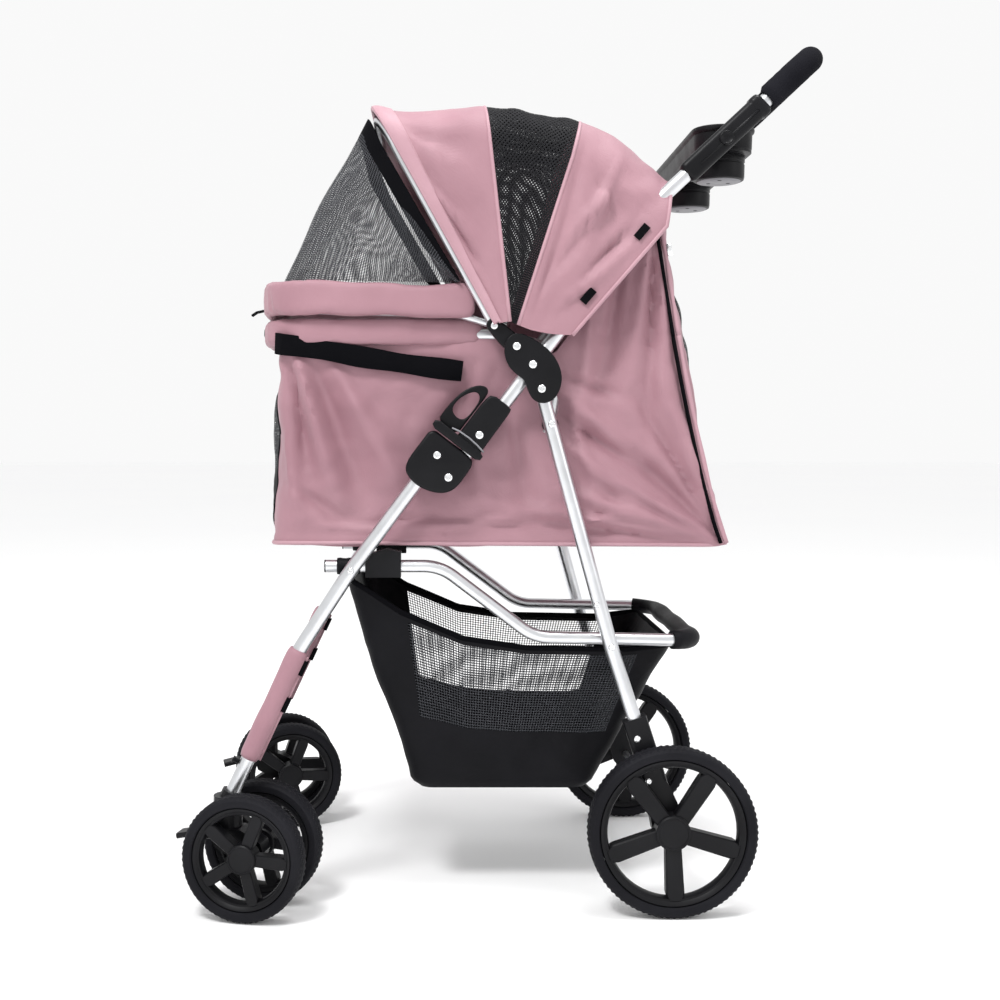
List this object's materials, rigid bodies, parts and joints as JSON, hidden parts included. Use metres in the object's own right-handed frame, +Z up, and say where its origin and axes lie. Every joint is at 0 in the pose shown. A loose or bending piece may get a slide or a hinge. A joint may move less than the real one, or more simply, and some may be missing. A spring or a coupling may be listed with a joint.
{
  "type": "pet stroller",
  "caption": "Folding pet stroller: tube frame, fabric cabin with a hood and mesh front, cup tray on the handle, wire-framed basket, rear wheels and swivelling front wheel pairs.",
  "frame": {"origin": "middle of the bounding box, on the floor under the wheels", "axes": "+Z up, -X the way the stroller faces, -Y its left side"},
  "size_m": [0.7298, 0.467, 0.9685],
  "materials": {
    "satin_tube": "satin",
    "steel_tube": "satin",
    "rose_fabric": "woven, matt",
    "mesh_fabric": "open mesh",
    "black_fabric": "woven, matt",
    "black_plastic": "fine grain",
    "wheel_plastic": "satin",
    "tyre": "ribbed tread",
    "grip_foam": "matt foam"
  },
  "bodies": {
    "rear_frame": {"rear_leg_left": "satin_tube", "rear_leg_right": "satin_tube", "rear_bracket_left": "black_plastic", "rear_bracket_right": "black_plastic", "rear_axle": "steel_tube", "seat_frame": "satin_tube", "seat_spacer_left": "black_plastic", "seat_spacer_right": "black_plastic", "cabin": "rose_fabric"},
    "handle_frame": {"handle_tube": "satin_tube", "foam_grip": "grip_foam", "arm_sleeve_left": "black_plastic", "arm_sleeve_right": "black_plastic", "tray": "black_plastic", "hinge_plate_left": "black_plastic", "hinge_plate_right": "black_plastic", "latch_upper_left": "black_plastic", "latch_upper_right": "black_plastic", "canopy": "rose_fabric"},
    "front_frame": {"front_leg_left": "satin_tube", "front_leg_right": "satin_tube", "latch_lower_left": "black_plastic", "latch_lower_right": "black_plastic", "leg_sleeve_left": "rose_fabric", "leg_sleeve_right": "rose_fabric", "caster_housing_left": "black_plastic", "caster_housing_right": "black_plastic", "front_cross_bar": "steel_tube"},
    "basket_frame": {"basket": "black_fabric", "basket_frame": "satin_tube", "basket_clip_left": "black_plastic", "basket_clip_right": "black_plastic", "basket_spacer_left": "black_plastic", "basket_spacer_right": "black_plastic"},
    "hood": {"hood_bow": "steel_tube", "hood_arm_left": "black_plastic", "hood_arm_right": "black_plastic", "gate_frame": "steel_tube", "gate_sleeve": "rose_fabric", "front_mesh": "mesh_fabric"},
    "latch_slider_left": {"latch_slider_left": "black_plastic"},
    "rear_wheel_left": {"rear_tyre_left": "tyre", "rear_rim_left": "wheel_plastic"},
    "caster_left": {"caster_fork_left": "black_plastic"},
    "swivel_lock_left": {"swivel_lock_left": "black_plastic"},
    "front_wheel_left_outer": {"front_tyre_left_outer": "tyre", "front_rim_left_outer": "wheel_plastic"},
    "front_wheel_left_inner": {"front_tyre_left_inner": "tyre", "front_rim_left_inner": "wheel_plastic"},
    "latch_slider_right": {"latch_slider_right": "black_plastic"},
    "rear_wheel_right": {"rear_tyre_right": "tyre", "rear_rim_right": "wheel_plastic"},
    "caster_right": {"caster_fork_right": "black_plastic"},
    "swivel_lock_right": {"swivel_lock_right": "black_plastic"},
    "front_wheel_right_outer": {"front_tyre_right_outer": "tyre", "front_rim_right_outer": "wheel_plastic"},
    "front_wheel_right_inner": {"front_tyre_right_inner": "tyre", "front_rim_right_inner": "wheel_plastic"}
  },
  "joints": [
    {"name": "fold", "type": "hinge", "parent": "rear_frame", "child": "handle_frame", "pos_m": [0.0415, 0, 0.578], "axis": [0, 1, 0], "range_deg": [0, 82], "deforming": ["cabin", "basket"]},
    {"name": "front_leg_fold", "type": "hinge", "parent": "handle_frame", "child": "front_frame", "pos_m": [-0.0615, 0, 0.48], "axis": [0, 1, 0], "range_deg": [-130, 0]},
    {"name": "basket_fold", "type": "hinge", "parent": "rear_frame", "child": "basket_frame", "pos_m": [0.1195, 0, 0.292], "axis": [0, 1, 0], "range_deg": [0, 34]},
    {"name": "hood_swing", "type": "hinge", "parent": "handle_frame", "child": "hood", "pos_m": [0.0139, 0, 0.625], "axis": [0, 1, 0], "range_deg": [0, 50], "deforming": ["canopy", "front_mesh"]},
    {"name": "latch_slide_left", "type": "slide", "parent": "handle_frame", "child": "latch_slider_left", "axis": [0.605, 0, 0.7963], "range_m": [0, 0.014], "stiffness_N_per_m": 300, "springref_m": -0.012},
    {"name": "rear_spin_left", "type": "hinge", "parent": "rear_frame", "child": "rear_wheel_left", "pos_m": [0.1835, -0.1935, 0.093], "axis": [0, 1, 0], "continuous": true},
    {"name": "swivel_left", "type": "hinge", "parent": "front_frame", "child": "caster_left", "pos_m": [-0.3065, -0.17, 0.093], "axis": [0, 0, 1], "continuous": true},
    {"name": "swivel_lock_left", "type": "hinge", "parent": "caster_left", "child": "swivel_lock_left", "pos_m": [-0.32362, -0.16636, 0.082], "axis": [0.2079, 0.9781, 0], "range_deg": [0, 16]},
    {"name": "front_spin_left_outer", "type": "hinge", "parent": "caster_left", "child": "front_wheel_left_outer", "pos_m": [-0.28391, -0.20803, 0.0685], "axis": [0.2079, 0.9781, 0], "continuous": true},
    {"name": "front_spin_left_inner", "type": "hinge", "parent": "caster_left", "child": "front_wheel_left_inner", "pos_m": [-0.2704, -0.14445, 0.0685], "axis": [0.2079, 0.9781, 0], "continuous": true},
    {"name": "latch_slide_right", "type": "slide", "parent": "handle_frame", "child": "latch_slider_right", "axis": [0.605, 0, 0.7963], "range_m": [0, 0.014], "stiffness_N_per_m": 300, "springref_m": -0.012},
    {"name": "rear_spin_right", "type": "hinge", "parent": "rear_frame", "child": "rear_wheel_right", "pos_m": [0.1835, 0.1935, 0.093], "axis": [0, 1, 0], "continuous": true},
    {"name": "swivel_right", "type": "hinge", "parent": "front_frame", "child": "caster_right", "pos_m": [-0.3065, 0.17, 0.093], "axis": [0, 0, 1], "continuous": true},
    {"name": "swivel_lock_right", "type": "hinge", "parent": "caster_right", "child": "swivel_lock_right", "pos_m": [-0.32362, 0.16636, 0.082], "axis": [-0.2079, 0.9781, 0], "range_deg": [0, 16]},
    {"name": "front_spin_right_outer", "type": "hinge", "parent": "caster_right", "child": "front_wheel_right_outer", "pos_m": [-0.28391, 0.20803, 0.0685], "axis": [-0.2079, 0.9781, 0], "continuous": true},
    {"name": "front_spin_right_inner", "type": "hinge", "parent": "caster_right", "child": "front_wheel_right_inner", "pos_m": [-0.2704, 0.14445, 0.0685], "axis": [-0.2079, 0.9781, 0], "continuous": true}
  ],
  "couplings": [
    {"joint": "front_leg_fold", "follows": "fold", "ratio": -1.513},
    {"joint": "basket_fold", "follows": "fold", "ratio": 0.396}
  ]
}
